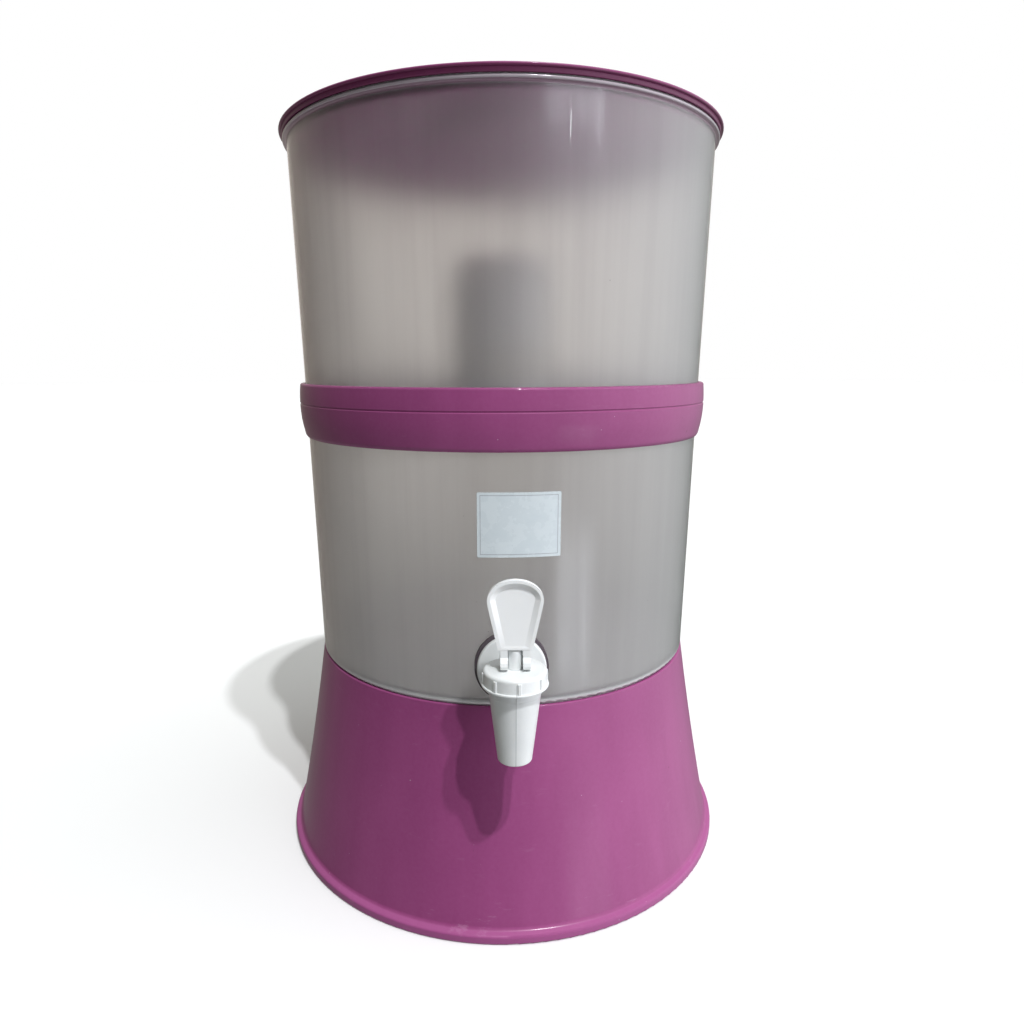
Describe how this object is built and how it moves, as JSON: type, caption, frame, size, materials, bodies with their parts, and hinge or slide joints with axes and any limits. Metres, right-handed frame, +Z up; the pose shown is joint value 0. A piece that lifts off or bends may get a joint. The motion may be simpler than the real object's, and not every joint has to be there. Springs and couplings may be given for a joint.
{
  "type": "gravity water filter",
  "caption": "Free-standing gravity water filter: two stacked translucent containers on a conical stand, joined by a collar, with a lid, a ceramic candle and a lever tap.",
  "frame": {"origin": "on the vertical axis of the containers, at the underside of the stand's foot flange", "axes": "+Z up; the tap points along -Y; +X is to the right of a person facing the tap"},
  "size_m": [0.32, 0.3481, 0.497],
  "materials": {
    "magenta_plastic": "glossy moulded",
    "frosted_plastic": "frosted translucent",
    "white_plastic": "satin moulded",
    "dark_rubber": "matte",
    "white_ceramic": "porous ceramic",
    "carbon": "pressed carbon",
    "candle_plastic": "satin moulded",
    "spring_steel": "drawn wire",
    "label_film": "glossy film"
  },
  "bodies": {
    "base": {"base_stand": "magenta_plastic"},
    "lower_vessel": {"lower_container": "frosted_plastic", "front_label": "label_film", "tap_body": "white_plastic", "tap_outer_gasket": "dark_rubber", "tap_inner_gasket": "dark_rubber", "tap_shank_nut": "white_plastic", "tap_bonnet": "white_plastic", "tap_spring": "spring_steel"},
    "collar": {"collar_ring": "magenta_plastic"},
    "upper_vessel": {"upper_container": "frosted_plastic", "candle_ceramic": "white_ceramic", "candle_base": "candle_plastic", "candle_carbon_core": "carbon", "candle_upper_washer": "dark_rubber", "candle_lower_washer": "dark_rubber", "candle_wing_nut": "candle_plastic"},
    "lid": {"lid": "magenta_plastic"},
    "valve_stem": {"tap_stem": "white_plastic", "tap_seat_plug": "dark_rubber", "tap_lever_pin": "white_plastic"},
    "lever": {"tap_lever": "white_plastic"}
  },
  "joints": [
    {"name": "lower_vessel_lift", "type": "slide", "parent": "base", "child": "lower_vessel", "axis": [0, 0, 1], "range_m": [0, 0.03]},
    {"name": "collar_lift", "type": "slide", "parent": "lower_vessel", "child": "collar", "axis": [0, 0, 1], "range_m": [0, 0.04]},
    {"name": "upper_vessel_lift", "type": "slide", "parent": "collar", "child": "upper_vessel", "axis": [0, 0, 1], "range_m": [0, 0.05]},
    {"name": "lid_lift", "type": "slide", "parent": "upper_vessel", "child": "lid", "axis": [0, 0, 1], "range_m": [0, 0.12]},
    {"name": "stem_lift", "type": "slide", "parent": "lower_vessel", "child": "valve_stem", "axis": [0, 0, 1], "range_m": [0, 0.00157], "deforming": ["tap_spring"]},
    {"name": "lever_tilt", "type": "hinge", "parent": "valve_stem", "child": "lever", "pos_m": [0, -0.17, 0.185], "axis": [1, 0, 0], "range_deg": [0, 45], "stiffness_Nm_per_rad": 0.06, "springref_deg": -22.92}
  ],
  "couplings": [
    {"joint": "lever_tilt", "follows": "stem_lift", "rad_per_m": 500}
  ]
}
